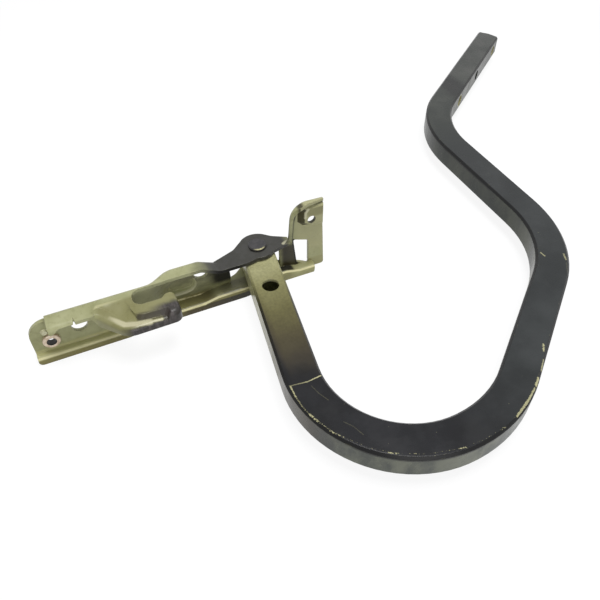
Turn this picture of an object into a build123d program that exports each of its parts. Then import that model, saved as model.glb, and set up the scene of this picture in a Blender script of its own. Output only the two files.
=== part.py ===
from build123d import *
import os

os.makedirs("parts", exist_ok=True)

# Heights are above the lower edge of the bracket's lip, plan points are about the pivot axis.
# A bent line is a list of corners, each given as two coordinates and the bend radius there.

# Section of the arm's tube, and the gap for a bush's flange between it and either ear
TUBE_WIDTH = 22.0
TUBE_HEIGHT = 17.0
TUBE_WALL = 2.0
TUBE_CHAMFER = 1.5
LOWER_GAP = 1.0
UPPER_GAP = 1.2

# Sheet of the bracket
SHEET = 2.5
OUTER_BEND = 4.0
FLANGE_TOP = 35.0
END_TOP = 59.8
LOWER_TOP = 5.7
LOWER_EAR_TOP = 8.0
ARM_LOW = LOWER_EAR_TOP + LOWER_GAP
ARM_TOP = ARM_LOW + TUBE_HEIGHT
EAR_TOP = ARM_TOP + UPPER_GAP + SHEET
FLANGE_LEFT = -140.6
WEB_LEFT = -153.0
WEB_RIGHT = 48.3
WEB_RIGHT_TOP = 45.8
END_TRIM = [(47.0, -4.0, 0), (44.4, -9.5, 0), (60, -9.5, 0), (60, -4.0, 0)]
WEB_FRONT_LEFT = -12.0
WEB_FRONT_RIGHT = -4.3
FAR = 70.0

# Web seen from above, its front face from left to right
WEB_LINE = [
    (WEB_LEFT - FAR, WEB_FRONT_LEFT, 0),
    (-75.8, WEB_FRONT_LEFT, 14),
    (-63.4, WEB_FRONT_RIGHT, 14),
    (WEB_RIGHT + FAR, WEB_FRONT_RIGHT, 0),
]

# Top faces of the upper and the lower flange seen from the front
UPPER_LINE = [
    (FLANGE_LEFT, FLANGE_TOP, 0),
    (-43, FLANGE_TOP, 7),
    (-31, EAR_TOP, 7),
    (20.4, EAR_TOP, 4),
    (22.6, END_TOP, 13),
    (WEB_RIGHT, END_TOP - 0.9, 0),
]
LOWER_LINE = [
    (WEB_LEFT, LOWER_TOP, 0),
    (-44, LOWER_TOP, 7),
    (-34, LOWER_EAR_TOP, 7),
    (17, LOWER_EAR_TOP, 7),
    (27, LOWER_TOP, 7),
    (WEB_RIGHT, LOWER_TOP, 0),
]
WEB_END_HEIGHT = FLANGE_TOP - OUTER_BEND
WEB_END_RADIUS = FLANGE_LEFT - WEB_LEFT - 0.4

# Lip seen from above, its front face from left to right
LIP_LINE = [
    (WEB_LEFT, -17.3, 0),
    (-97, -17.3, 30),
    (-62, -14.4, 30),
    (-15, -14.4, 30),
    (15, -10.75, 30),
    (WEB_RIGHT, -10.75, 0),
]
LIP_BEND = 3.2
LIP_CORNER = 3.0

# Front edge of the upper flange seen from above, with the hook and the tab left out
UPPER_FRONT = [
    (WEB_LEFT - FAR, -19.0, 0),
    (-125.5, -19.0, 0),
    (-124.5, -24.5, 0),
    (-113.2, -24.5, 0),
    (-113.2, -17.0, 0),
    (-67, -17.0, 0),
    (-67, -12.6, 0),
    (-42, -12.6, 8),
    (-30, -13.5, 8),
    (-12, -13.5, 12),
    (12, -8.3, 6),
    (19, -6.2, 3),
    (24, -6.2, 3),
    (29, -8.8, 4),
    (50, -5.4, 0),
    (WEB_RIGHT + FAR, -5.4, 0),
]

# Ears round the pivot seen from above
EAR_RADIUS = 12.4
EAR_FLANKS = [
    (-40, -7.0, 0),
    (-34, -4.0, 6),
    (-16.5, 2.2, 8),
    (-8.9, 8.6, 0),
    (0, 0, 0),
    (8.6, 8.9, 0),
    (12.6, 5.2, 8),
    (24, -1.2, 0),
    (24, -7.0, 0),
]

# Hook, a lobe of the upper flange with a turned-down wall: its floor falls from the flange
# to a rim in front, and a step between the two runs round to the raised nose
RIM_TOP = 31.2
RIM_SLOPE = [(-112, FLANGE_TOP, 12), (-98, RIM_TOP, 12)]
HOOK_WALL = [
    (-118, -10.0, 0),
    (-118, -24.5, 0),
    (-113.2, -24.5, 4),
    (-98, -41.5, 12),
    (-64, -41.2, 5),
    (-64, -23.6, 0),
    (-70, -23.6, 0),
    (-70, -10.0, 0),
]
STEP_TOP = [
    (-113.5, -9, 0),
    (-113.5, -17.6, 3),
    (-92.8, -17.6, 6),
    (-91.8, -35.1, 8),
    (-70.6, -35.1, 2),
    (-70.2, -45, 0),
    (-55, -45, 0),
    (-55, -9, 0),
]
STEP_FOOT = [
    (-113.5, -9, 0),
    (-113.5, -19.5, 3),
    (-97.5, -33.8, 8),
    (-89.5, -36.2, 8),
    (-73.4, -37.6, 2),
    (-73.0, -45, 0),
    (-55, -45, 0),
    (-55, -9, 0),
]
STEP_SHIFT = (0.9, 1.2)
RIM_BEND = 3.0
NOSE_BEND = 3.5
HOOK_LOW = 26.0
HOOK_BACK = -15.0
HOOK_VIEW = [
    (-115.4, FLANGE_TOP - SHEET, 0),
    (-112, HOOK_LOW, 2),
    (-60, HOOK_LOW, 0),
    (-60, FLANGE_TOP + 1, 0),
    (-115.4, FLANGE_TOP + 1, 0),
]
SLOT = [
    (-89.4, -13.3, 5.5),
    (-55, -12.6, 0),
    (-55, -28, 0),
    (-63.9, -28, 0),
    (-64, -23.6, 3),
    (-69.5, -23.6, 2),
    (-73, -26.6, 3),
    (-89.4, -26.6, 5.5),
]

# Small tapered tab bent down at the front left corner of the upper flange
TAB_SIDE = [(-18, FLANGE_TOP, 0), (-24.8, FLANGE_TOP, OUTER_BEND), (-25.4, 26, 0)]
TAB_FRONT = [
    (FLANGE_LEFT, 37, 0),
    (-124.5, 37, 0),
    (-126, 33, 1),
    (-134.5, 33, 2),
    (-137, 31, 0),
    (-139.5, 29.9, 1),
    (FLANGE_LEFT, 31, 0),
]

# Openings and marks of the web seen from the front
PIVOT_OPENING = (-30.0, 14.8)
WINDOW = [(24.8, 29.4, 1), (36.2, 25.5, 2), (36.4, 4.0, 1), (27.2, 8.0, 1)]
WINDOW_FRONT = WEB_FRONT_RIGHT - 0.6
WEB_HOLES = [(-123.3, 19.0), (-41.7, 24.5)]
WEB_HOLE_RADIUS = 5.0
POCKET = (-55.4, 17.5)
POCKET_SIZE = (19.4, 12.0)
POCKET_DRAFT = 1.5
POCKET_DEPTH = 3.0
POCKET_WALL = 0.8
PAD_FOOT = [(28, 43.6, 0), (28, 56.4, 0), (52, 56.4, 0), (52, 35, 0), (32, 39.6, 0)]
PAD_TOP = [(32, 43.6, 0), (32.4, 54.0, 3.5), (52, 54.2, 0), (52, 39.5, 0), (35.5, 41.5, 0)]
PAD_HEIGHT = 3.0
END_HOLE = (37.0, 45.0)
END_HOLE_RADIUS = 2.9
DOWEL = (-143.8, 22.3)
DOWEL_RADIUS = 1.8
DOWEL_HEIGHT = 1.4
FOOT_LEFT = (38.1, 39.6)
FOOT_CORNER = 2.0

# Collar in the left end of the web
COLLAR = (-141.6, 14.5)
COLLAR_RADIUS = 5.3
COLLAR_SPIGOT = 4.0
COLLAR_BORE = 2.9
COLLAR_HEIGHT = 2.4

# Arm, a bent rectangular tube
ARM_TAIL = 10.0
ARM_BENDS = [(-27.9, -181.5, 61.8), (75.1, -175.1, 79.4), (196.7, -76.4, 92.0), (199.1, 96.5, 89.8)]
ARM_TIP = (353.0, 219.5, 0)
TIP_SKEW = 19.5
ARM_HOLE = (-5.1, -35.3)
ARM_HOLE_RADIUS = 5.5
TIP_HOLES = (18.7, 80.3, 136.5)
LOCATING_RADIUS = 4.5
CRUSH_SLEEVE_GAP = 0.5
CRUSH_SLEEVE_WALL = 1.25
CRUSH_SLEEVE_RADIUS = TUBE_HEIGHT / 2 - TUBE_WALL - CRUSH_SLEEVE_GAP
BOLT_RADIUS = CRUSH_SLEEVE_RADIUS - CRUSH_SLEEVE_WALL

# Pivot
RIVET_RADIUS = 4.0
RIVET_HEAD = 6.0
RIVET_HEAD_HEIGHT = 1.6
EAR_BORE = RIVET_RADIUS + 0.02
BUSH_BORE = RIVET_RADIUS + 0.05
BUSH_WALL = 1.45
BUSH_RADIUS = BUSH_BORE + BUSH_WALL
BUSH_LENGTH = 7.0
SLEEVE_WALL = 1.5
SLEEVE_RADIUS = BUSH_RADIUS + SLEEVE_WALL
BUSH_RIM = 2.0
BUSH_FLANGE = SLEEVE_RADIUS + BUSH_RIM
END_PLAY = 0.05


def heading(start, end):
    return (Vector(end[0], end[1]) - Vector(start[0], start[1])).normalized()


def shifted(line, step):
    """The bent line moved to its left by step, its bends kept concentric."""
    legs = [heading(a, b) for a, b in zip(line, line[1:])]
    moved = []
    for (x, y, radius), a, b in zip(line, legs[:1] + legs, legs + legs[-1:]):
        reach = step / (1 + a.dot(b))
        turn = a.X * b.Y - a.Y * b.X
        bend = radius - step if turn > 0 else radius + step
        moved.append((x - (a.Y + b.Y) * reach, y + (a.X + b.X) * reach, bend if radius else 0))
    return moved


def outline(corners):
    """Closed face through the corners."""
    points = [(x, y) for x, y, radius in corners]
    return make_face(FilletPolyline(*points, radius=[radius for x, y, radius in corners], close=True))


def upright(face, low, high):
    """Plan face drawn up from one height to another."""
    return extrude(Pos(0, 0, low) * face, amount=high - low)


def across(face, front, back):
    """Front-view face drawn from front to back."""
    plane = Plane(origin=(0, back, 0), x_dir=(1, 0, 0), z_dir=(0, -1, 0))
    return extrude(plane * face, amount=back - front)


def channel_block(upper, lower, web, left):
    """Solid in front of a web line and between two lines seen from the front."""
    view = across(outline(left + upper + lower[::-1]), -FAR, FAR)
    plan = outline(web + [(web[-1][0], -FAR, 0), (web[0][0], -FAR, 0)])
    return view & upright(plan, -FAR, 2 * FAR)


def bent(block):
    """The block with its long rear edges rounded, except above the web's free left end."""
    rear = [e for e in block.edges() if e.center().Y > WEB_FRONT_LEFT - 1]
    boxes = [(e, e.bounding_box()) for e in rear]
    long = [(e, box) for e, box in boxes if box.size.X > 0.1 and box.max.X > FLANGE_LEFT + 1]
    bends = [e for e, box in long if box.min.Z > EAR_TOP - 2 * SHEET or box.max.Z < EAR_TOP / 2]
    return fillet(bends, OUTER_BEND)


def channel():
    """Web with both flanges as one bent sheet, the flanges still over-long."""
    far_left = WEB_LEFT - FAR
    far_right = WEB_RIGHT + FAR
    web_end = [(WEB_LEFT, WEB_END_HEIGHT, WEB_END_RADIUS), (FLANGE_LEFT, WEB_END_HEIGHT, 0)]
    underside = shifted(LOWER_LINE, -SHEET)
    outer = bent(channel_block(UPPER_LINE, underside, shifted(WEB_LINE, SHEET), web_end))
    ceiling = shifted(UPPER_LINE, -SHEET)
    ceiling[-1] = (far_right, ceiling[-1][1], 0)
    floor = [(far_left, LOWER_TOP, 0)] + LOWER_LINE[1:-1] + [(far_right, LOWER_TOP, 0)]
    clear = [(far_left, FAR, 0), (FLANGE_LEFT, FAR, 0)]
    return outer - channel_block(ceiling, floor, WEB_LINE, clear)


def trimmed(body):
    """The channel with both flanges cut to their front edges."""
    rear = 20
    upper = [(UPPER_FRONT[0][0], rear, 0)] + UPPER_FRONT + [(UPPER_FRONT[-1][0], rear, 0)]
    lower = shifted(LIP_LINE, LIP_BEND + 0.2) + [(WEB_RIGHT, rear, 0), (WEB_LEFT, rear, 0)]
    return body & (upright(outline(upper), rear, FAR) + upright(outline(lower), -rear, rear))


def lip_block(front, top, low):
    """Solid behind a plan line and under a front-view line."""
    view = across(outline([(WEB_LEFT, low, 0)] + top + [(WEB_RIGHT, low, 0)]), -FAR, FAR)
    plan = outline(front + [(WEB_RIGHT, FAR, 0), (WEB_LEFT, FAR, 0)])
    return view & upright(plan, -FAR, FAR)


def lip():
    """Front edge of the lower flange turned down."""
    outside = lip_block(LIP_LINE, LOWER_LINE, 0)
    edges = [e for e in outside.edges() if e.center().Z > 1 and e.bounding_box().size.X > 0.1]
    outside = fillet([e for e in edges if e.center().Y < 0], LIP_BEND)
    inside = lip_block(shifted(LIP_LINE, SHEET), shifted(LOWER_LINE, -SHEET), -SHEET)
    strip = outline(LIP_LINE + shifted(LIP_LINE, LIP_BEND + 0.4)[::-1])
    return (outside - inside) & upright(strip, -SHEET, FAR)


def ear(line, low, high):
    """Sheet at the height of the given line, rounded about the pivot."""
    plan = outline(EAR_FLANKS) + Circle(EAR_RADIUS)
    sheet = across(outline(line + shifted(line, -SHEET)[::-1]), -FAR, FAR)
    return sheet & upright(plan, low, high)


def over_rim(solid, plan, low):
    """Edges of the solid that lie above a height and over the front of a plan outline."""
    rim = plan.face().outer_wire()
    middles = [(e, e @ 0.5) for e in solid.edges()]
    high = [(e, mid) for e, mid in middles if mid.Z > low and mid.Y < HOOK_WALL[-2][1] - 0.1]
    return [e for e, mid in high if rim.distance_to(Vector(mid.X, mid.Y, 0)) < 0.01]


def hook_block(wall, shift, sink):
    """Solid inside a wall line and under the hook's floor, step and nose, moved as given."""
    left, right = RIM_SLOPE[0][0] - FAR, STEP_FOOT[-1][0]
    slope = [(left, FLANGE_TOP, 0)] + RIM_SLOPE + [(right, RIM_TOP, 0), (right, 0, 0), (left, 0, 0)]
    place = Pos(shift[0], shift[1], -sink)
    steps = [Pos(0, 0, RIM_TOP) * outline(STEP_FOOT), Pos(0, 0, FLANGE_TOP) * outline(STEP_TOP)]
    inside = upright(outline(wall), 0, FAR)
    floor = place * across(outline(slope), -FAR, 0)
    nose = place * (loft(steps) + upright(outline(STEP_FOOT), 0, RIM_TOP))
    return floor & inside, nose & inside


def hook():
    """Lobe of the flange: a block under its surface, hollowed by the same block one sheet further in."""
    plan = outline(HOOK_WALL)
    floor, nose = hook_block(HOOK_WALL, (0, 0), 0)
    floor = fillet(over_rim(floor, plan, RIM_TOP - 0.1), RIM_BEND)
    nose = fillet(over_rim(nose, plan, FLANGE_TOP - 0.1), NOSE_BEND)
    skin = floor + nose
    for hollow in hook_block(shifted(HOOK_WALL, SHEET), STEP_SHIFT, SHEET):
        skin -= hollow
    return skin & across(outline(HOOK_VIEW), -FAR, HOOK_BACK)


def tab():
    side = outline(TAB_SIDE + shifted(TAB_SIDE, SHEET)[::-1])
    bent = extrude(Plane.YZ.offset(WEB_LEFT) * side, amount=-WEB_LEFT)
    return bent & across(outline(TAB_FRONT), -FAR, FAR)


def pocket_body(grow):
    """Tapered recess, its mouth carried on to the front."""
    length, height = POCKET_SIZE
    faces = []
    for inset in (-grow, POCKET_DRAFT - grow):
        face = RectangleRounded(length - 2 * inset, height - 2 * inset, height / 2 - inset - 0.1)
        faces.append(Pos(*POCKET) * face)
    web = Plane(origin=(0, WEB_FRONT_RIGHT, 0), x_dir=(1, 0, 0), z_dir=(0, -1, 0))
    return loft([web.offset(-POCKET_DEPTH) * faces[1], web * faces[0]]) + across(
        faces[0], WEB_FRONT_LEFT, WEB_FRONT_RIGHT
    )


def add_pocket(body):
    behind = shifted(WEB_LINE, SHEET / 2) + [(WEB_RIGHT + FAR, FAR, 0), (WEB_LEFT - FAR, FAR, 0)]
    shell = Pos(0, SHEET, 0) * pocket_body(POCKET_WALL)
    body += shell & upright(outline(behind), 0, FLANGE_TOP)
    return body - pocket_body(0)


def add_pad(body):
    """Bolt pad pressed forwards out of the web."""
    foot = Plane(origin=(0, WEB_FRONT_RIGHT, 0), x_dir=(1, 0, 0), z_dir=(0, -1, 0))
    pad = loft([foot * outline(PAD_FOOT), foot.offset(PAD_HEIGHT) * outline(PAD_TOP)])
    return (body + pad) - Pos(0, SHEET, 0) * pad


def round_hole(place, radius, front, back):
    return across(Pos(*place) * Circle(radius), front, back)


def web_foot(body):
    """Lower flange and lip end short of the right end, where the web alone runs on down."""
    low, high = FOOT_LEFT
    above = LOWER_TOP + OUTER_BEND
    corner = [(low, 0, 0), (high, above, 0), (WEB_RIGHT + FAR, above, 0), (WEB_RIGHT + FAR, 0, 0)]
    face = outline(corner)
    return (body - across(face, -FAR, FAR)) + across(face, WEB_FRONT_RIGHT, WEB_FRONT_RIGHT + SHEET)


def body_bracket():
    body = trimmed(channel())
    body += lip()
    left, right = PIVOT_OPENING
    underside = EAR_TOP - SHEET
    gap = [(left, LOWER_EAR_TOP, 0), (right, LOWER_EAR_TOP, 0), (right, underside, 0), (left, underside, 0)]
    body -= across(outline(gap), -FAR, FAR)
    body += ear(UPPER_LINE, underside - SHEET, EAR_TOP)
    body += ear(LOWER_LINE, 0, LOWER_EAR_TOP)
    body += hook()
    body -= upright(outline(SLOT), HOOK_LOW - 1, FLANGE_TOP + 1)
    body += tab()
    body = web_foot(body)
    body = add_pocket(body)
    body = add_pad(body)
    body -= across(outline(WINDOW), WINDOW_FRONT, FAR)
    for place in WEB_HOLES:
        body -= round_hole(place, WEB_HOLE_RADIUS, -FAR, FAR)
    body -= round_hole(END_HOLE, END_HOLE_RADIUS, -FAR, FAR)
    body -= round_hole(COLLAR, COLLAR_SPIGOT, -FAR, FAR)
    body += round_hole(DOWEL, DOWEL_RADIUS, WEB_FRONT_LEFT - DOWEL_HEIGHT, WEB_FRONT_LEFT + 1)
    ends = [
        (WEB_LEFT, 0, LIP_CORNER),
        (WEB_LEFT, END_TOP, 0),
        (WEB_RIGHT_TOP, END_TOP, 0),
        (WEB_RIGHT, 0, FOOT_CORNER),
    ]
    body &= across(outline(ends), -FAR, FAR)
    body -= upright(outline(END_TRIM), PAD_FOOT[3][1], FAR)
    return body - Cylinder(EAR_BORE, 4 * FAR)


def arm_path():
    """Centre line of the arm from its tail behind the pivot to its tip."""
    first = heading((0, 0), ARM_BENDS[0])
    tail = (-first.X * ARM_TAIL, -first.Y * ARM_TAIL, 0)
    line = [tail] + ARM_BENDS + [ARM_TIP]
    points = [(x, y, ARM_LOW + TUBE_HEIGHT / 2) for x, y, radius in line]
    return FilletPolyline(*points, radius=[radius for x, y, radius in ARM_BENDS])


def swept(path, section):
    start = Plane(origin=path @ 0, x_dir=(path % 0).cross(Vector(0, 0, 1)), z_dir=path % 0)
    return sweep(start * section, path=path)


def tip_plane(back):
    """Plane across the last straight of the arm, its normal along the tube."""
    direction = heading(ARM_BENDS[-1], ARM_TIP)
    origin = Vector(ARM_TIP[0], ARM_TIP[1], ARM_LOW + TUBE_HEIGHT / 2) - direction * back
    return Plane(origin=origin, x_dir=direction.cross(Vector(0, 0, 1)), z_dir=direction)


def crosswise(back, radius, start, end):
    """Rod across the tube, from start to end of its width, both counted from the middle."""
    plane = tip_plane(back)
    side = Plane(origin=plane.origin + plane.x_dir * start, x_dir=plane.z_dir, z_dir=plane.x_dir)
    return extrude(side * Circle(radius), amount=end - start)


def gooseneck_arm():
    path = arm_path()
    tube = swept(path, chamfer(Rectangle(TUBE_WIDTH, TUBE_HEIGHT).vertices(), TUBE_CHAMFER))
    tube -= swept(path, Rectangle(TUBE_WIDTH - 2 * TUBE_WALL, TUBE_HEIGHT - 2 * TUBE_WALL))
    beyond = (Align.CENTER, Align.CENTER, Align.MIN)
    tube -= tip_plane(0) * Rot(0, TIP_SKEW, 0) * Box(FAR, FAR, FAR, align=beyond)
    tube -= Cylinder(SLEEVE_RADIUS, FAR)
    tube -= Pos(*ARM_HOLE) * Cylinder(ARM_HOLE_RADIUS, FAR)
    front, middle, rear = TIP_HOLES
    tube -= crosswise(front, BOLT_RADIUS, -TUBE_WIDTH, TUBE_WIDTH)
    tube -= crosswise(rear, BOLT_RADIUS, -TUBE_WIDTH, TUBE_WIDTH)
    return tube - crosswise(middle, LOCATING_RADIUS, 0, TUBE_WIDTH)


def crush_sleeve(back):
    half = TUBE_WIDTH / 2 - TUBE_WALL
    return crosswise(back, CRUSH_SLEEVE_RADIUS, -half, half) - crosswise(back, BOLT_RADIUS, -half, half)


def disc(radius, low, high):
    return upright(Circle(radius), low, high)


def bush(seat, face, inwards):
    """Flanged bush: its flange between the arm at seat and the ear at face, its barrel inwards."""
    flange = disc(BUSH_FLANGE, min(seat, face), max(seat, face))
    end = seat + inwards * BUSH_LENGTH
    barrel = disc(BUSH_RADIUS, min(seat, end), max(seat, end))
    return flange + barrel - Cylinder(BUSH_BORE, 4 * FAR)


def pivot_rivet():
    ears = disc(RIVET_RADIUS, LOWER_EAR_TOP - SHEET, EAR_TOP)
    head = disc(RIVET_HEAD, EAR_TOP, EAR_TOP + RIVET_HEAD_HEIGHT)
    foot = disc(RIVET_HEAD, LOWER_EAR_TOP - SHEET - RIVET_HEAD_HEIGHT, LOWER_EAR_TOP - SHEET)
    head = chamfer(head.edges().group_by(Axis.Z)[-1], 0.6)
    foot = chamfer(foot.edges().group_by(Axis.Z)[0], 0.6)
    return ears + head + foot


def mounting_collar():
    flange = round_hole(COLLAR, COLLAR_RADIUS, WEB_FRONT_LEFT - COLLAR_HEIGHT, WEB_FRONT_LEFT)
    flange = chamfer(flange.edges().group_by(Axis.Y)[0], 0.5)
    spigot = round_hole(COLLAR, COLLAR_SPIGOT, WEB_FRONT_LEFT, WEB_FRONT_LEFT + SHEET)
    return flange + spigot - round_hole(COLLAR, COLLAR_BORE, -FAR, FAR)


NODES = {
    "body_bracket": body_bracket(),
    "gooseneck_arm": gooseneck_arm(),
    "pivot_sleeve": disc(SLEEVE_RADIUS, ARM_LOW, ARM_TOP) - disc(BUSH_RADIUS, ARM_LOW, ARM_TOP),
    "upper_pivot_bush": bush(ARM_TOP, EAR_TOP - SHEET - END_PLAY, -1),
    "lower_pivot_bush": bush(ARM_LOW, LOWER_EAR_TOP + END_PLAY, 1),
    "pivot_rivet": pivot_rivet(),
    "front_bolt_sleeve": crush_sleeve(TIP_HOLES[0]),
    "rear_bolt_sleeve": crush_sleeve(TIP_HOLES[2]),
    "mounting_collar": mounting_collar(),
}
for name, shape in NODES.items():
    export_step(shape, f"parts/{name}.step")
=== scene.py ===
from math import radians

import bmesh
import bpy
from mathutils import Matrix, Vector


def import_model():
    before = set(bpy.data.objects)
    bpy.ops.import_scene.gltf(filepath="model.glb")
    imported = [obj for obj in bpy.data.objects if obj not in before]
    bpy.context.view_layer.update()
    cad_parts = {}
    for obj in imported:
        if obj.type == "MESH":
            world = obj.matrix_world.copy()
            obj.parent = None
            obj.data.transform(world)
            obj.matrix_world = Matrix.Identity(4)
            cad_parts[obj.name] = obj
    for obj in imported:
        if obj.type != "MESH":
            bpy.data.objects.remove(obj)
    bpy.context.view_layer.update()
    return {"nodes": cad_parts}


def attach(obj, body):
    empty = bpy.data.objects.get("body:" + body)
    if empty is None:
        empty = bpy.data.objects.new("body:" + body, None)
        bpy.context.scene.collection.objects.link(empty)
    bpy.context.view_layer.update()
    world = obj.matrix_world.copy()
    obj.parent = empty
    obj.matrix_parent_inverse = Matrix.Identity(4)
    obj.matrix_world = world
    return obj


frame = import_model()

MM = 0.001
scene = bpy.context.scene
nodes = frame["nodes"]

# Camera fitted to the photo: place in metres, turns in degrees, lens and sensor in millimetres
CAMERA_PLACE = (-0.1067, -0.3026, 0.3072)
CAMERA_TILT = 44.05
CAMERA_TURN = -24.6
CAMERA_LENS = 37.52
CAMERA_SENSOR = 36.0
CAMERA_CLIP = 0.01

# Lamps, each with its place and size in metres and its power in watts, and the place they face
LAMPS = [("key", (0.15, -0.1, 1.2), 0.6, 11.0), ("fill", (-0.15, -1.3, 0.5), 1.0, 4.5)]
LAMP_AIM = (0.08, 0.0, 0.02)

# World and floor: white to the rays that show the background, dimmer to all others
WHITE = (1, 1, 1, 1)
ROOM_STRENGTH = 0.28
FLOOR_HALF = 6.0
FLOOR_LIT = (0.78, 0.78, 0.77, 1)
FLOOR_SHOWN = (0.15, 0.15, 0.153, 1)
FLOOR_GLOW = 0.89

# Worn strokes: size of their ragged edge in millimetres, and where they fade, in half widths
STROKE_GRAIN = 0.9
STROKE_OUTSIDE = 1.15
STROKE_INSIDE = 0.7

# Rounded edges: how far the rounded normal leans from the flat one, as a cosine
EDGE_FLAT = 0.995
EDGE_SHARP = 0.90
BEVEL_SAMPLES = 6


def linear(colour):
    """Linear RGBA of a colour given as 0 to 255 screen values."""
    parts = [c / 255 for c in colour]
    parts = [c / 12.92 if c <= 0.04045 else ((c + 0.055) / 1.055) ** 2.4 for c in parts]
    return (*parts, 1.0)


class Finish:
    """Node material built from small steps. Places are in millimetres of the model."""

    def __init__(self, name):
        self.material = bpy.data.materials.new(name)
        self.material.use_nodes = True
        self.tree = self.material.node_tree
        self.tree.nodes.clear()
        coordinates = self.node("ShaderNodeTexCoord")
        self.place = self.vector("SCALE", coordinates.outputs["Object"], scale=1 / MM)
        self.x, self.y, self.z = self.split(self.place)
        self.nx, self.ny, self.nz = self.split(coordinates.outputs["Normal"])

    def node(self, kind, **settings):
        made = self.tree.nodes.new(kind)
        for key, value in settings.items():
            setattr(made, key, value)
        return made

    def put(self, socket, value):
        if isinstance(value, bpy.types.NodeSocket):
            self.tree.links.new(value, socket)
        else:
            socket.default_value = value

    def split(self, vector):
        made = self.node("ShaderNodeSeparateXYZ")
        self.put(made.inputs[0], vector)
        return made.outputs

    def math(self, operation, a, b=0.0, clamp=False):
        made = self.node("ShaderNodeMath", operation=operation, use_clamp=clamp)
        self.put(made.inputs[0], a)
        self.put(made.inputs[1], b)
        return made.outputs[0]

    def chained(self, operation, values):
        """The values joined by the same operation, one after the other."""
        result = values[0]
        for value in values[1:]:
            result = self.math(operation, result, value)
        return result

    def add(self, *values):
        return self.chained("ADD", values)

    def times(self, *values):
        return self.chained("MULTIPLY", values)

    def least(self, *values):
        return self.chained("MINIMUM", values)

    def most(self, *values):
        return self.chained("MAXIMUM", values)

    def vector(self, operation, a, b=None, scale=None):
        made = self.node("ShaderNodeVectorMath", operation=operation)
        self.put(made.inputs[0], a)
        if b is not None:
            self.put(made.inputs[1], b)
        if scale is not None:
            self.put(made.inputs["Scale"], scale)
        return made.outputs["Value" if operation in ("DOT_PRODUCT", "DISTANCE") else "Vector"]

    def ramp(self, value, start, end, low=0.0, high=1.0, kind="SMOOTHSTEP"):
        """Step of the value from low at start to high at end."""
        made = self.node("ShaderNodeMapRange", interpolation_type=kind)
        for socket, number in zip(made.inputs[:5], (value, start, end, low, high)):
            self.put(socket, number)
        return made.outputs[0]

    def within(self, value, start, end, soft):
        """One between start and end, falling to zero over soft outside them."""
        rise = self.ramp(value, start - soft, start)
        return self.times(rise, self.ramp(value, end, end + soft, 1.0, 0.0))

    def noise(self, size, detail=3.0, stretch=(1, 1, 1), roughness=0.55):
        """Noise with features of about size in millimetres, around 0.5."""
        made = self.node("ShaderNodeTexNoise")
        self.put(made.inputs["Vector"], self.vector("MULTIPLY", self.place, stretch))
        self.put(made.inputs["Scale"], 1 / size)
        self.put(made.inputs["Detail"], detail)
        self.put(made.inputs["Roughness"], roughness)
        return made.outputs[0]

    def swing(self, size, detail, reach):
        """Noise around zero, times a reach."""
        return self.times(self.add(self.noise(size, detail), -0.5), reach)

    def mix(self, factor, a, b):
        made = self.node("ShaderNodeMix", data_type="RGBA")
        self.put(made.inputs[0], factor)
        self.put(made.inputs[6], linear(a) if isinstance(a, tuple) else a)
        self.put(made.inputs[7], linear(b) if isinstance(b, tuple) else b)
        return made.outputs[2]

    def layers(self, colour, rows):
        """The colour with shades laid over it, each row a mask and a shade."""
        for mask, shade in rows:
            colour = self.mix(mask, colour, shade)
        return colour

    def stops(self, value, rows):
        """Colours along a value, each row a position and a colour."""
        colour = rows[0][1]
        for (start, _), (end, shade) in zip(rows, rows[1:]):
            colour = self.mix(self.ramp(value, start, end, kind="LINEAR"), colour, shade)
        return colour

    def near(self, line):
        """Distance from a chain of points in millimetres."""
        chain = []
        for a, b in zip(line, line[1:]):
            a, leg = Vector(a), Vector(b) - Vector(a)
            away = self.vector("SUBTRACT", self.place, a)
            share = self.times(self.vector("DOT_PRODUCT", away, leg), 1 / leg.length_squared)
            share = self.math("MULTIPLY", share, 1.0, clamp=True)
            foot = self.vector("SCALE", tuple(leg), scale=share)
            chain.append(self.vector("DISTANCE", away, foot))
        return self.least(*chain)

    def beside(self, line, outer, inner, strength=None):
        """Mask round a chain of points, from zero at the outer to full at the inner distance."""
        mask = self.ramp(self.near(line), outer, inner)
        return mask if strength is None else self.times(mask, strength)

    def stroke(self, line, width, ragged):
        """Mask of a worn line of the given half width."""
        distance = self.add(self.near(line), self.swing(STROKE_GRAIN, 4.0, ragged))
        return self.ramp(distance, width * STROKE_OUTSIDE, width * STROKE_INSIDE)

    def edge(self, radius):
        """Normal rounded over edges, and a mask that is high on them."""
        bevel = self.node("ShaderNodeBevel", samples=BEVEL_SAMPLES)
        bevel.inputs["Radius"].default_value = radius * MM
        flat = self.node("ShaderNodeNewGeometry").outputs["Normal"]
        same = self.vector("DOT_PRODUCT", bevel.outputs[0], flat)
        return bevel.outputs[0], self.ramp(same, EDGE_FLAT, EDGE_SHARP)

    def finish(self, colour, roughness, height, depth, normal=None, metallic=0.0, specular=0.5):
        """Material with the colour, and relief of a height noise and a depth in millimetres."""
        bump = self.node("ShaderNodeBump")
        bump.inputs["Distance"].default_value = depth * MM
        self.put(bump.inputs["Height"], height)
        if normal is not None:
            self.put(bump.inputs["Normal"], normal)
        shader = self.node("ShaderNodeBsdfPrincipled")
        self.put(shader.inputs["Base Color"], colour)
        self.put(shader.inputs["Roughness"], roughness)
        self.put(shader.inputs["Normal"], bump.outputs[0])
        shader.inputs["Metallic"].default_value = metallic
        shader.inputs["Specular IOR Level"].default_value = specular
        output = self.node("ShaderNodeOutputMaterial")
        self.put(output.inputs[0], shader.outputs[0])
        return self.material


def through(place, front, back):
    """Line from front to back at a place seen from the front."""
    x, z = place
    return [(x, front, z), (x, back, z)]


def dress(name, material):
    slots = nodes[name].data.materials
    if not slots:
        slots.append(material)
    for index in range(len(slots)):
        slots[index] = material


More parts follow.
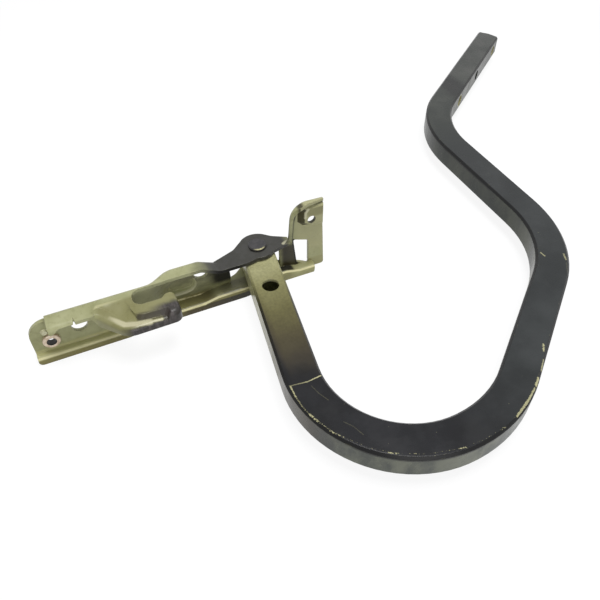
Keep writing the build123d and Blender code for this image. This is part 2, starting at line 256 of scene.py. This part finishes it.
# Colours as screen values. A pair is the dark and the light end of a mottled paint
KHAKI_COAT = ((154, 155, 112), (174, 175, 135))
# Light khaki of worn paint, also used for painted highlights on edges and creases
KHAKI_WEAR_AND_HIGHLIGHT = (198, 194, 150)
OLIVE = (100, 95, 52)
DEEP = (50, 46, 26)

# Colours of the arm
# Painted shade: a dark reflection laid on the leg's chamfered corners
LEG_CORNER_SHADE = (24, 22, 18)
LOOP_BLACK = ((8, 9, 12), (18, 19, 24))
UPPER_BLACK = ((38, 41, 42), (56, 59, 60))
TIP_BLACK = ((42, 46, 43), (66, 69, 64))
# Sides: thin paint showing green, lightened as a painted reflection of the pale floor
SIDE_BLACK = ((66, 71, 66), (112, 115, 100))
SIDE_BLACK_FAR = (44, 48, 44)
# Painted shade: a dark reflection laid on the tube's chamfered corners
CORNER_SHADE = (10, 10, 11)
# Painted shade: a dark reflection under the tube's upper corner
BAND_SHADE = (9, 9, 10)
BEND_BLACK = (14, 14, 16)
SMUDGE_GREY = (72, 71, 70)
BOLT_KHAKI = (158, 153, 108)

# Colours of the bracket. The tread's colour and the lip's shade run from left to right
# Painted shade on the web under the upper flange
WEB_SHADE = (102, 101, 66)
# Lower flange top: the left end lighter as painted light where the upper flange shades it, darker
# to the right
TREAD = ((190, 187, 138), (112, 106, 64))
LIP_OLIVE = (118, 110, 58)
# Painted shade on the lip's front, going black to the right
LIP_SHADE = ((58, 49, 26), (22, 19, 12))
# Painted shade in the trough under the upper flange
TROUGH_SHADE = (62, 55, 36)
LEDGE_GREY = (86, 84, 82)
# Painted light: the end plate paler where it is well lit
END_LIT = (172, 170, 130)
FOOT_KHAKI = (148, 144, 98)
# Painted highlight on the rounded creases
CREASE_HIGHLIGHT = (220, 214, 168)
# Painted shade on the hook's sloping valley
VALLEY_SHADE = (112, 106, 60)
# Painted shade, a dark reflection, on the hook's nose and turned-down wall, with streaks
NOSE_SHADE = (42, 38, 44)
NOSE_SHADE_STREAK = (96, 88, 92)
# Painted shade on the hook's riser
RISER_SHADE = (50, 44, 38)
# Painted highlight on the hook's rounded rim
RIM_HIGHLIGHT = (204, 199, 166)
OVERSPRAY = ((38, 37, 41), (50, 49, 53))
# Painted shade on the web strip under the ear
STRIP_SHADE = (36, 30, 10)
# Painted shade at the window's side
WINDOW_SHADE = (14, 13, 10)
SHADE_BLACK = (10, 9, 6)
# Painted highlights
HIGHLIGHT_CREAM = (206, 203, 172)
# Painted shade along the pocket's upper edge
SLIT_SHADE = (24, 24, 14)
# Painted shadow round the rivet head's foot
CONTACT_SHADOW = (16, 15, 14)

# Colours of the small pieces
RIVET_COAT = ((44, 43, 45), (60, 58, 60))
# Bare khaki, lightened as a painted highlight
RIVET_KHAKI_HIGHLIGHT = (200, 194, 150)
STEEL_COAT = ((120, 118, 88), (150, 146, 112))
POLYMER = ((24, 24, 25), (40, 40, 42))
COLLAR_METAL = ((186, 164, 140), (226, 210, 190))
COLLAR_RIM = (240, 230, 214)
# Painted shade inside the bore
COLLAR_BORE_SHADE = (36, 32, 30)

# Leg of the arm from the pivot to its loop: direction, lean of x on y, and shades along it
LEG = (-0.152, -0.988, 0.0)
LEG_LEAN = -0.154
LEG_SHADES = [
    (10, (178, 176, 132)),
    (36, (134, 131, 88)),
    (58, (104, 100, 62)),
    (78, (78, 72, 48)),
    (96, (58, 52, 40)),
    (116, (33, 31, 31)),
]

# Khaki streaks across the tube at the lid's bolt holes
BOLT_STREAKS = [
    [(331.4, 216.8, 17.5), (345.4, 198.8, 17.5)],
    [(239.4, 143.3, 17.5), (253.4, 125.3, 17.5)],
]

# Worn lines of the arm's black paint, the chips each with a half width and a strength; two long
# thin rows of them are a painted highlight along the loop's lower edge
HAIRLINE = [(-26.3, -113.0, 26), (-16.0, -114.4, 26), (-6.9, -113.6, 26)]
HAIRLINE_WIDTH = 0.36
HAIRLINE_RAGGED = 0.8
LOOP_CHIPS_AND_EDGE_HIGHLIGHT = [
    ([(-25.9, -113.5, 26), (-26.1, -121.0, 26)], 0.4, 0.7),
    ([(-26.1, -121.0, 26), (-25.3, -128.6, 25.7), (-23.8, -134.2, 25.6)], 0.3, 0.4),
    ([(-23.8, -134.2, 25.6), (-21.8, -139.9, 25.6)], 0.5, 0.85),
    ([(-21.8, -139.9, 25.6), (-17.6, -149.2, 25.6), (-13.0, -155.5, 25.6)], 0.4, 0.75),
    # These two long thin rows are a painted highlight along the loop's lower outer edge
    (
        [(-13.0, -155.5, 25.6), (-4.0, -165.9, 25.6), (6.0, -173.6, 25.6), (20.0, -180.6, 25.6)],
        0.3,
        0.5,
    ),
    (
        [(20.0, -180.6, 25.6), (36.0, -184.6, 25.6), (52.0, -185.6, 25.6), (66.0, -183.8, 25.6)],
        0.3,
        0.45,
    ),
    ([(102.5, -165.6, 25.4), (98.0, -169.0, 25.4)], 0.9, 0.85),
    ([(113.6, -156.4, 25.4), (108.0, -162.0, 25.4)], 0.6, 0.6),
    ([(96.0, -170.6, 25.8), (88.7, -175.0, 25.8), (76.0, -181.0, 25.8)], 0.7, 0.7),
    ([(121.0, -147.5, 25.4), (118.0, -151.5, 25.4)], 0.8, 0.8),
    ([(40.0, -185.4, 25.6), (36.0, -184.6, 25.6)], 0.45, 0.8),
    ([(6.0, -173.6, 25.6), (2.5, -171.6, 25.6)], 0.5, 0.8),
    ([(172.8, -82.5, 26), (173.1, -86.4, 26)], 0.45, 0.6),
    ([(186.0, -90.0, 25.6), (183.6, -95.0, 25.6)], 0.7, 0.5),
    ([(183.8, -25.9, 26), (184.6, -23.5, 26)], 0.5, 0.6),
    ([(187.4, 63.4, 26), (188.2, 65.8, 26)], 0.8, 0.6),
]
CHIP_RAGGED = 1.4
SCRATCHES = [
    [(-15.2, -118.0, 26), (-13.6, -124.0, 26), (-10.9, -130.2, 26)],
    [(-9.6, -146.0, 26), (-6.4, -150.5, 26), (-4.0, -157.0, 26)],
    [(1.0, -140.0, 26), (6.0, -149.0, 26)],
    [(182.0, -97.0, 26), (178.8, -101.2, 26), (175.0, -106.8, 26)],
]
SCRATCH_WIDTH = 0.24
SCRATCH_RAGGED = 0.9
SCRATCH_STRENGTH = 0.09


def khaki_leg(m, side, corner):
    """Khaki leg under a mist of black, with painted shade on its corners, and the mist's reach,
    which grows towards the loop.
    """
    along = m.vector("DOT_PRODUCT", m.place, LEG)
    left = m.ramp(m.add(m.x, m.times(m.y, LEG_LEAN)), -5.5, -11.0)
    left = m.times(left, m.ramp(along, 30, 60, 0, 16))
    reach = m.add(along, m.swing(26, 4.0, 24), m.times(side, -42), left)
    grain = m.ramp(m.noise(1.6), 0.35, 0.7, -0.12, 0.12)
    leg = m.mix(m.add(0.12, grain), m.stops(reach, LEG_SHADES), DEEP)
    return m.mix(m.times(corner, m.ramp(along, 22, 60, 0, 0.85)), leg, LEG_CORNER_SHADE), reach


def black_tube(m, side, corner):
    """Black paint, bluish at the loop and greener towards the tip; on the sides thin paint over the
    khaki, lightened by a painted reflection of the floor.
    """
    smoke = m.ramp(m.noise(46, 5.0), 0.36, 0.68)
    far = m.ramp(m.add(m.x, m.times(m.y, 0.4)), -40, 50)
    black = m.mix(far, m.mix(smoke, *LOOP_BLACK), m.mix(smoke, *UPPER_BLACK))
    black = m.mix(m.ramp(m.y, 30, 100), black, m.mix(smoke, *TIP_BLACK))
    mottle = m.ramp(m.noise(19, 6.0, (1, 1, 0.6)), 0.38, 0.62)
    thin_paint_and_sheen = m.mix(m.times(m.ramp(m.y, -150, 10), 0.75), m.mix(mottle, *SIDE_BLACK), SIDE_BLACK_FAR)

    # Painted shade as a black strip under the upper corner, a smudge at the tip and a dark band
    # before it
    top = m.ramp(m.nz, 0.8, 0.95)
    reached = m.most(m.ramp(m.y, -150, -168), m.ramp(m.y, -20, 10))
    shade_band = m.times(side, m.ramp(m.z, 22.6, 23.8), reached, 0.85)
    spots = m.ramp(m.noise(8, 6.0, (1, 0.5, 1)), 0.42, 0.7)
    rows = [
        (m.times(side, 0.9), thin_paint_and_sheen),
        # Painted shade on the chamfered corners
        (m.times(corner, 0.9), CORNER_SHADE),
        (shade_band, BAND_SHADE),
        (m.times(m.ramp(m.x, 236, 262), spots, top, 0.4), SMUDGE_GREY),
        (m.times(m.within(m.x, 246, 258, 9), top, 0.75), BEND_BLACK),
    ]
    return m.layers(black, rows)


def wear_and_edge_highlight(m, rim):
    """Mask of the hairline, chips, scratches, rubbed edges and specks, and of the painted highlight
    along the loop's lower edge.
    """
    bright_end = m.ramp(m.x, -24, -8, 0.3, 0.9)
    marks = [m.times(m.stroke(HAIRLINE, HAIRLINE_WIDTH, HAIRLINE_RAGGED), bright_end)]
    for line, width, strength in LOOP_CHIPS_AND_EDGE_HIGHLIGHT:
        marks.append(m.times(m.stroke(line, width, CHIP_RAGGED), strength))
    for line in SCRATCHES:
        marks.append(m.times(m.stroke(line, SCRATCH_WIDTH, SCRATCH_RAGGED), SCRATCH_STRENGTH))
    rubbed = m.times(rim, m.ramp(m.noise(3.2, 5.0), 0.55, 0.68), 0.2)
    specks = m.times(m.ramp(m.noise(1.9, 2.0), 0.765, 0.785), 0.3)
    return m.most(*marks, rubbed, specks)


def arm_paint():
    m = Finish("arm_paint")
    upright = m.math("ABSOLUTE", m.nz)
    side = m.ramp(upright, 0.5, 0.3)
    corner = m.within(upright, 0.55, 0.86, 0.08)
    leg, reach = khaki_leg(m, side, corner)
    black = black_tube(m, side, corner)
    colour = m.mix(m.ramp(m.x, 36, 22), black, m.mix(m.ramp(reach, 92, 120), leg, black))
    cloud = m.swing(26, 4.0, 2)
    for line in BOLT_STREAKS:
        colour = m.mix(m.ramp(m.add(m.near(line), cloud), 6.0, 5.0), colour, BOLT_KHAKI)
    normal, rim = m.edge(1.0)
    wear_and_highlight = wear_and_edge_highlight(m, rim)
    # Wear, and the painted highlight on the loop's edge, in light khaki
    colour = m.mix(wear_and_highlight, colour, KHAKI_WEAR_AND_HIGHLIGHT)
    smear = m.ramp(m.noise(14, 5.0, (1, 1, 0.4)), 0.35, 0.7, 0.24, 0.36)
    roughness = m.most(smear, m.times(wear_and_highlight, 0.6))
    return m.finish(colour, roughness, m.noise(2.6, 2.0), 0.02, normal, specular=0.25)


# Places on the bracket
WEB_FRONT = -4.3
WEB_BACK = -1.8
HOOK_RIM = [
    (-105.4, -27.8, 31.2),
    (-98.2, -35.3, 31.0),
    (-91.5, -37.6, 30.8),
    (-83.9, -38.8, 30.6),
]
HOOK_RIM_END = [(-83.9, -38.8, 30.6), (-77.0, -39.6, 30.6)]
HOOK_VALLEY = [
    (-112.6, -19.0, 34),
    (-110.4, -17.2, 34.6),
    (-104.0, -17.2, 34.4),
    (-95.1, -17.3, 34),
]
HOOK_RISER = [(-88.5, -34.8, 33), (-80.0, -36.4, 33), (-73.0, -37.0, 33)]
PLATE_CREASE = [
    (22.9, WEB_FRONT, 31),
    (23.9, WEB_FRONT, 44),
    (25.4, WEB_FRONT, 50),
    (28.8, WEB_FRONT, 54.6),
    (34.0, WEB_FRONT, 57.0),
    (47.0, WEB_FRONT, 56.6),
]
WEB_FOLD = [
    (-59.4, WEB_FRONT, 6.4),
    (-48.2, WEB_FRONT, 5.6),
    (-37.8, WEB_FRONT, 5.5),
    (-29.7, WEB_FRONT, 6.0),
]
POCKET_RIM = [
    (-60, WEB_FRONT, 11.6),
    (-53.6, WEB_FRONT, 11.4),
    (-49.4, WEB_FRONT, 12.4),
    (-47.0, WEB_FRONT, 16.3),
    (-47.6, WEB_FRONT, 20.6),
]
POCKET_GLINTS = [(-60.4, -3.4, 21.6), (-63.0, -3.8, 19.6)]
POCKET_TOP = [(-62, -2.8, 24), (-58, -2.8, 23.6), (-48, -2.8, 23.6)]
WINDOW_SIDE = [(27.2, WEB_FRONT, 8), (24.8, WEB_FRONT, 29)]
PAD_MIDDLE = [(37.5, -7.3, 51), (43, -7.3, 51)]
PAD_HIGHLIGHT = [(32.4, -7.2, 47.5), (32.6, -7.2, 51.5), (34.6, -7.2, 53.8)]
EAR_HIGHLIGHT = [(16.9, -5.4, 29.7), (19.6, -4.0, 30.2), (20.8, -3.0, 32.0)]
LIP_CREASE = [(-131.2, -11.1, 5.7), (-115.1, -12.1, 5.7)]
RIVET_HEAD = [(0.0, 0.0, 29.7), (0, 0, 29.8)]
PAD_BORE = through((37, 45), -12, 2)
DOWEL_TIP = through((-143.8, 22.3), -14, -12)
COLLAR_BORE = through((-141.6, 14.5), -20, -5)

# Light spots, painted highlights, each with an outer and an inner distance and a strength
HIGHLIGHT_SPOTS = [
    (DOWEL_TIP, 2.6, 1.9, 0.85),
    (PAD_HIGHLIGHT, 1.2, 0.5, 0.8),
    (EAR_HIGHLIGHT, 1.6, 0.5, 0.7),
    (LIP_CREASE, 0.9, 0.4, 0.5),
    (POCKET_RIM, 1.9, 0.7, 0.55),
    (POCKET_GLINTS, 1.7, 0.7, 0.7),
]


def web_and_lip(m, front, top, cloud, fine):
    """Rows of the web under the flange in painted shade, the lower flange lighter at the left as
    painted light, its lip and trough in painted shade, a grey ledge, the right end as painted
    light, the khaki foot, and painted highlights on the creases.
    """
    web = m.times(front, m.ramp(m.z, 34, 27), m.ramp(m.x, 24, 18), m.ramp(m.y, -14, -12.6))
    web = m.times(web, m.ramp(m.x, -112, -84, 0.25, 1.0))
    streak = m.ramp(m.noise(9, 4.0, (0.35, 1, 1)), 0.42, 0.66)
    low = m.times(m.ramp(m.z, 9.0, 6.5), m.ramp(m.y, -2.0, -4.0), m.ramp(m.x, 13, 5))
    lip = m.times(m.ramp(m.z, 5.4, 4.4), m.ramp(m.nz, 0.6, 0.3))
    tread = m.mix(m.ramp(m.x, -78, -62), *TREAD)
    lip_shade = m.mix(m.ramp(m.x, -50, -20), *LIP_SHADE)
    # Painted highlights on the lip's rounded top edge and the web's lower fold
    turn = m.times(
        m.within(m.nz, 0.58, 0.8, 0.08),
        m.ramp(m.ny, -0.2, -0.4),
        m.ramp(m.z, 9.5, 8.5),
        m.ramp(cloud, 0.3, 0.55, 0.5, 0.9),
    )
    fold = m.times(m.beside(WEB_FOLD, 0.9, 0.4), m.ramp(fine, 0.35, 0.5, 0.3, 0.85))
    return [
        # Painted shade on the web under the upper flange, with streaks of deeper painted shade
        (m.times(web, 0.55), WEB_SHADE),
        (m.times(web, streak, 0.5), DEEP),
        # Lower flange top painted lighter at the left as painted light, darker to the right; its
        # lip olive
        (m.times(low, 0.85), m.mix(lip, tread, LIP_OLIVE)),
        # Painted shade on the lip's front
        (m.times(low, lip, m.ramp(m.x, -70, -54), 0.9), lip_shade),
        # Painted shade in the trough
        (m.times(low, top, m.ramp(m.x, -60, -25), 0.7), TROUGH_SHADE),
        (m.times(low, top, m.within(m.x, -29, -13, 2.5), 0.8), LEDGE_GREY),
        # Painted light on the end plate
        (m.times(m.ramp(m.x, 24, 30), m.ramp(m.z, 12, 20), 0.8), END_LIT),
        (m.times(m.ramp(m.z, 9.0, 7.0), m.ramp(m.x, 8, 16), 0.6), FOOT_KHAKI),
        (m.most(turn, fold), CREASE_HIGHLIGHT),
    ]


def hook_rows(m, wave):
    """Mask of the hook's nose and wall in painted shade, and rows of its valley in painted shade,
    its rim's painted highlight, its riser in painted shade, the nose and wall, and the crease's
    painted highlight.
    """
    valley = m.times(m.ramp(m.x, -116, -108), m.ramp(m.y, -15, -20))
    lifted = m.add(m.z, m.times(m.ramp(m.x, -77, -74), 4))
    nose = m.times(
        m.ramp(m.add(m.x, wave), -86, -72),
        m.ramp(m.add(m.y, wave), -29, -34),
        m.ramp(lifted, 32.0, 33.0),
    )
    wall = m.times(
        m.ramp(m.add(m.x, wave), -104, -94),
        m.ramp(m.z, 31.4, 30.0),
        m.ramp(m.y, -30, -35),
    )
    dark = m.most(nose, wall)
    lines = m.ramp(m.noise(2.4, 3.0, (1, 0.4, 0.35)), 0.45, 0.62)
    rim = m.most(m.beside(HOOK_RIM, 2.6, 1.2), m.beside(HOOK_RIM_END, 1.3, 0.4))
    return dark, [
        # Painted shade on the valley
        (m.times(valley, 0.6), VALLEY_SHADE),
        # Painted shade on the nose and wall
        (m.times(dark, 0.93), m.mix(m.times(lines, 0.45), NOSE_SHADE, NOSE_SHADE_STREAK)),
        # Painted shade on the riser
        (m.beside(HOOK_RISER, 3.6, 1.4, 0.85), RISER_SHADE),
        # Painted highlight on the rim
        (m.times(rim, 0.8), RIM_HIGHLIGHT),
        # Painted highlight along the valley's upper crease
        (m.beside(HOOK_VALLEY, 1.3, 0.5, 0.6), KHAKI_WEAR_AND_HIGHLIGHT),
    ]


def pivot_rows(m, front, fine):
    """Mask of the dark overspray round the pivot, and rows of it, of the strip beside the window in
    painted shade and of the window's side in painted shade.
    """
    mist = m.swing(11, 4.0, 12)
    spray = m.times(
        m.ramp(m.add(m.x, mist), -52, -33),
        m.ramp(m.add(m.x, m.times(mist, 0.3)), 24, 17),
        m.ramp(m.z, 25.5, 27.0),
    )
    inner = m.times(m.within(m.x, 18, 27, 4), m.ramp(m.z, 29, 24), front, m.ramp(m.y, -9, -6))
    return spray, [
        (m.times(spray, 0.95), m.mix(m.ramp(fine, 0.35, 0.7), *OVERSPRAY)),
        # Painted shade on the strip beside the window
        (m.times(inner, 0.95), STRIP_SHADE),
        # Painted shade at the window's side
        (m.beside(WINDOW_SIDE, 1.5, 0.8, 0.9), WINDOW_SHADE),
    ]


def shade_rows(m, foot, web_end):
    """Rows of painted shade in the hollows, the plate's crease and the bolt hole, of the raised
    pad's side darkened as painted shade, and of its olive middle.
    """
    shade = m.most(
        m.times(foot, 0.96),
        m.times(web_end, 0.95),
        m.beside(PAD_BORE, 3.1, 2.95, 0.85),
        m.beside(PLATE_CREASE, 2.3, 1.0, 0.85),
    )
    facet = m.times(m.ramp(m.nx, -0.2, -0.4), m.ramp(m.x, 36, 33), m.ramp(m.x, 26, 28))
    return [
        (shade, SHADE_BLACK),
        # Painted shade on the pad's left-facing side
        (m.times(facet, m.ramp(m.z, 36, 40), 0.9), DEEP),
        (m.beside(PAD_MIDDLE, 5.0, 2.5, 0.5), OLIVE),
    ]


def spot_rows(m):
    """Rows of the painted highlights, the pocket's slit in painted shade and the rivet head's
    contact line, a painted shadow.
    """
    # Painted shadow where the rivet head meets the ear
    contact = m.times(m.beside(RIVET_HEAD, 7.4, 6.4), m.ramp(m.y, -1, -3), 0.8)
    return [
        # Painted highlights
        (m.most(*[m.beside(*spot) for spot in HIGHLIGHT_SPOTS]), HIGHLIGHT_CREAM),
        # Painted shade along the pocket's upper edge
        (m.beside(POCKET_TOP, 1.3, 0.6, 0.8), SLIT_SHADE),
        (contact, CONTACT_SHADOW),
    ]


def bracket_paint():
    m = Finish("bracket_paint")
    cloud = m.noise(17, 5.0)
    fine = m.noise(3.5, 4.0)
    wave = m.swing(9, 3.0, 5)
    front = m.ramp(m.ny, -0.5, -0.9)
    top = m.ramp(m.nz, 0.45, 0.8)
    colour = m.mix(m.ramp(cloud, 0.3, 0.7), *KHAKI_COAT)
    colour = m.mix(m.times(m.ramp(fine, 0.5, 0.75), 0.3), colour, OLIVE)
    colour = m.layers(colour, web_and_lip(m, front, top, cloud, fine))
    dark, rows = hook_rows(m, wave)
    colour = m.layers(colour, rows)
    spray, rows = pivot_rows(m, front, fine)
    colour = m.layers(colour, rows)

    # Painted shade, black, under the ear beside the arm, and at the web's end behind it over its
    # dark overspray
    foot = m.times(m.within(m.x, 13, 22, 2.5), top, m.ramp(m.z, 10, 9), m.ramp(m.y, -9.6, -8.4))
    web_end = m.times(m.ramp(m.add(m.x, wave), -41, -31), m.ramp(m.x, -12, -18))
    web_end = m.times(web_end, m.ramp(m.z, 9, 13), front)
    colour = m.layers(colour, shade_rows(m, foot, web_end))
    colour = m.layers(colour, spot_rows(m))

    # Khaki worn bright on edges, less so where the paint is dark or painted in shade
    normal, rim = m.edge(0.7)
    kept = m.add(1.0, m.times(m.most(spray, dark, web_end), -0.8))
    rubbed = m.times(rim, m.ramp(fine, 0.42, 0.62), 0.5, kept)
    colour = m.mix(rubbed, colour, KHAKI_WEAR_AND_HIGHLIGHT)
    gloss = m.ramp(cloud, 0.3, 0.7, 0.26, 0.38)
    roughness = m.most(gloss, m.times(m.most(web_end, foot), 0.85))
    return m.finish(colour, roughness, m.noise(2.4), 0.05, normal, specular=0.3)


def rivet_paint():
    """Dark paint with a light khaki strip on the front of the head's bevel: bare coat where the
    overspray is thin, lightened as a painted highlight.
    """
    m = Finish("rivet_paint")
    bare_and_lit = m.times(m.ramp(m.ny, -0.45, -0.75), m.ramp(m.nz, 0.85, 0.7), m.ramp(m.nz, 0.05, 0.25))
    dark = m.mix(m.ramp(m.noise(4, 4.0), 0.35, 0.7), *RIVET_COAT)
    colour = m.mix(m.times(bare_and_lit, m.ramp(m.x, 5.4, 3.5)), dark, RIVET_KHAKI_HIGHLIGHT)
    return m.finish(colour, 0.42, m.noise(1.6), 0.05, specular=0.4)


def coated_steel():
    m = Finish("plain_steel")
    streak = m.noise(4, 5.0, (1, 1, 0.3))
    colour = m.mix(m.ramp(streak, 0.35, 0.7), *STEEL_COAT)
    return m.finish(colour, m.ramp(streak, 0.3, 0.7, 0.32, 0.5), streak, 0.05, metallic=0.5)


def bush_polymer():
    m = Finish("bush_polymer")
    speckle = m.noise(0.8, 4.0)
    return m.finish(m.mix(m.ramp(speckle, 0.4, 0.7), *POLYMER), 0.6, speckle, 0.04)


def collar_steel():
    """Bare warm steel with lighter edges and painted shade in the bore."""
    m = Finish("collar_steel")
    ring = m.noise(2.2, 5.0)
    normal, rim = m.edge(0.35)
    colour = m.mix(m.ramp(ring, 0.35, 0.7), *COLLAR_METAL)
    colour = m.mix(m.times(rim, 0.35), colour, COLLAR_RIM)
    colour = m.mix(m.beside(COLLAR_BORE, 3.15, 2.95), colour, COLLAR_BORE_SHADE)
    return m.finish(colour, m.ramp(ring, 0.3, 0.7, 0.3, 0.5), ring, 0.06, normal, metallic=0.35)


dress("gooseneck_arm", arm_paint())
dress("body_bracket", bracket_paint())
dress("pivot_rivet", rivet_paint())
dress("mounting_collar", collar_steel())
steel = coated_steel()
for name in ("pivot_sleeve", "front_bolt_sleeve", "rear_bolt_sleeve"):
    dress(name, steel)
polymer = bush_polymer()
for name in ("upper_pivot_bush", "lower_pivot_bush"):
    dress(name, polymer)

# Outline of the web's end beside the pivot opening, seen from the front
WEB_EDGE = [(-30.2, 8.2), (-22.4, 8.2), (-21.8, 12.0), (-22.6, 27.0), (-30.2, 27.0)]


def web_edge():
    """End of the web beside the pivot opening, carried on behind the arm in the same sheet."""
    made = bmesh.new()
    faces = (WEB_FRONT, WEB_BACK)
    rings = [[made.verts.new((x * MM, y * MM, z * MM)) for x, z in WEB_EDGE] for y in faces]
    made.faces.new(rings[0])
    made.faces.new(rings[1][::-1])
    for index in range(len(WEB_EDGE)):
        after = (index + 1) % len(WEB_EDGE)
        made.faces.new([rings[0][after], rings[0][index], rings[1][index], rings[1][after]])
    bmesh.ops.recalc_face_normals(made, faces=made.faces)
    mesh = bpy.data.meshes.new("web_edge")
    made.to_mesh(mesh)
    made.free()
    mesh.materials.append(nodes["body_bracket"].data.materials[0])
    plate = bpy.data.objects.new("web_edge", mesh)
    scene.collection.objects.link(plate)
    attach(plate, "bracket")


def shown_rays(tree):
    """One for rays that show the background: to the camera, in gloss and through glass."""
    path = tree.nodes.new("ShaderNodeLightPath")
    shown = path.outputs["Is Camera Ray"]
    for kind in ("Is Glossy Ray", "Is Transmission Ray"):
        either = tree.nodes.new("ShaderNodeMath")
        either.operation = "MAXIMUM"
        tree.links.new(shown, either.inputs[0])
        tree.links.new(path.outputs[kind], either.inputs[1])
        shown = either.outputs[0]
    return shown


def floor_paper():
    """White paper: shown white with faint shadows, and plain to the rays that light the part."""
    material = bpy.data.materials.new("floor_paper")
    material.use_nodes = True
    tree = material.node_tree
    tree.nodes.clear()
    bare_and_lit = tree.nodes.new("ShaderNodeBsdfDiffuse")
    bare_and_lit.inputs["Color"].default_value = FLOOR_LIT
    dim = tree.nodes.new("ShaderNodeBsdfDiffuse")
    dim.inputs["Color"].default_value = FLOOR_SHOWN
    glow = tree.nodes.new("ShaderNodeEmission")
    glow.inputs["Strength"].default_value = FLOOR_GLOW
    bright = tree.nodes.new("ShaderNodeAddShader")
    tree.links.new(dim.outputs[0], bright.inputs[0])
    tree.links.new(glow.outputs[0], bright.inputs[1])
    mix = tree.nodes.new("ShaderNodeMixShader")
    tree.links.new(shown_rays(tree), mix.inputs[0])
    tree.links.new(bare_and_lit.outputs[0], mix.inputs[1])
    tree.links.new(bright.outputs[0], mix.inputs[2])
    output = tree.nodes.new("ShaderNodeOutputMaterial")
    tree.links.new(mix.outputs[0], output.inputs[0])
    return material


def floor():
    corners = [(x * FLOOR_HALF, y * FLOOR_HALF, 0) for x, y in ((-1, -1), (1, -1), (1, 1), (-1, 1))]
    mesh = bpy.data.meshes.new("floor")
    mesh.from_pydata(corners, [], [(0, 1, 2, 3)])
    mesh.materials.append(floor_paper())
    sheet = bpy.data.objects.new("floor", mesh)
    scene.collection.objects.link(sheet)


def world():
    made = bpy.data.worlds.new("world")
    made.use_nodes = True
    tree = made.node_tree
    room = tree.nodes["Background"]
    room.inputs["Color"].default_value = WHITE
    room.inputs["Strength"].default_value = ROOM_STRENGTH
    seen = tree.nodes.new("ShaderNodeBackground")
    seen.inputs["Color"].default_value = WHITE
    mix = tree.nodes.new("ShaderNodeMixShader")
    tree.links.new(shown_rays(tree), mix.inputs[0])
    tree.links.new(room.outputs[0], mix.inputs[1])
    tree.links.new(seen.outputs[0], mix.inputs[2])
    tree.links.new(mix.outputs[0], tree.nodes["World Output"].inputs[0])
    scene.world = made


def lamp(name, place, size, power):
    light = bpy.data.lights.new(name, "AREA")
    light.shape = "SQUARE"
    light.size = size
    light.energy = power
    holder = bpy.data.objects.new(name, light)
    holder.location = place
    aim = Vector(LAMP_AIM) - Vector(place)
    holder.rotation_euler = aim.to_track_quat("-Z", "Y").to_euler()
    scene.collection.objects.link(holder)


def camera():
    data = bpy.data.cameras.new("camera")
    data.lens = CAMERA_LENS
    data.sensor_width = CAMERA_SENSOR
    data.clip_start = CAMERA_CLIP
    holder = bpy.data.objects.new("camera", data)
    holder.location = CAMERA_PLACE
    holder.rotation_euler = (radians(CAMERA_TILT), 0, radians(CAMERA_TURN))
    scene.collection.objects.link(holder)
    scene.camera = holder


web_edge()
floor()
world()
for row in LAMPS:
    lamp(*row)
camera()
scene.view_settings.view_transform = "Standard"
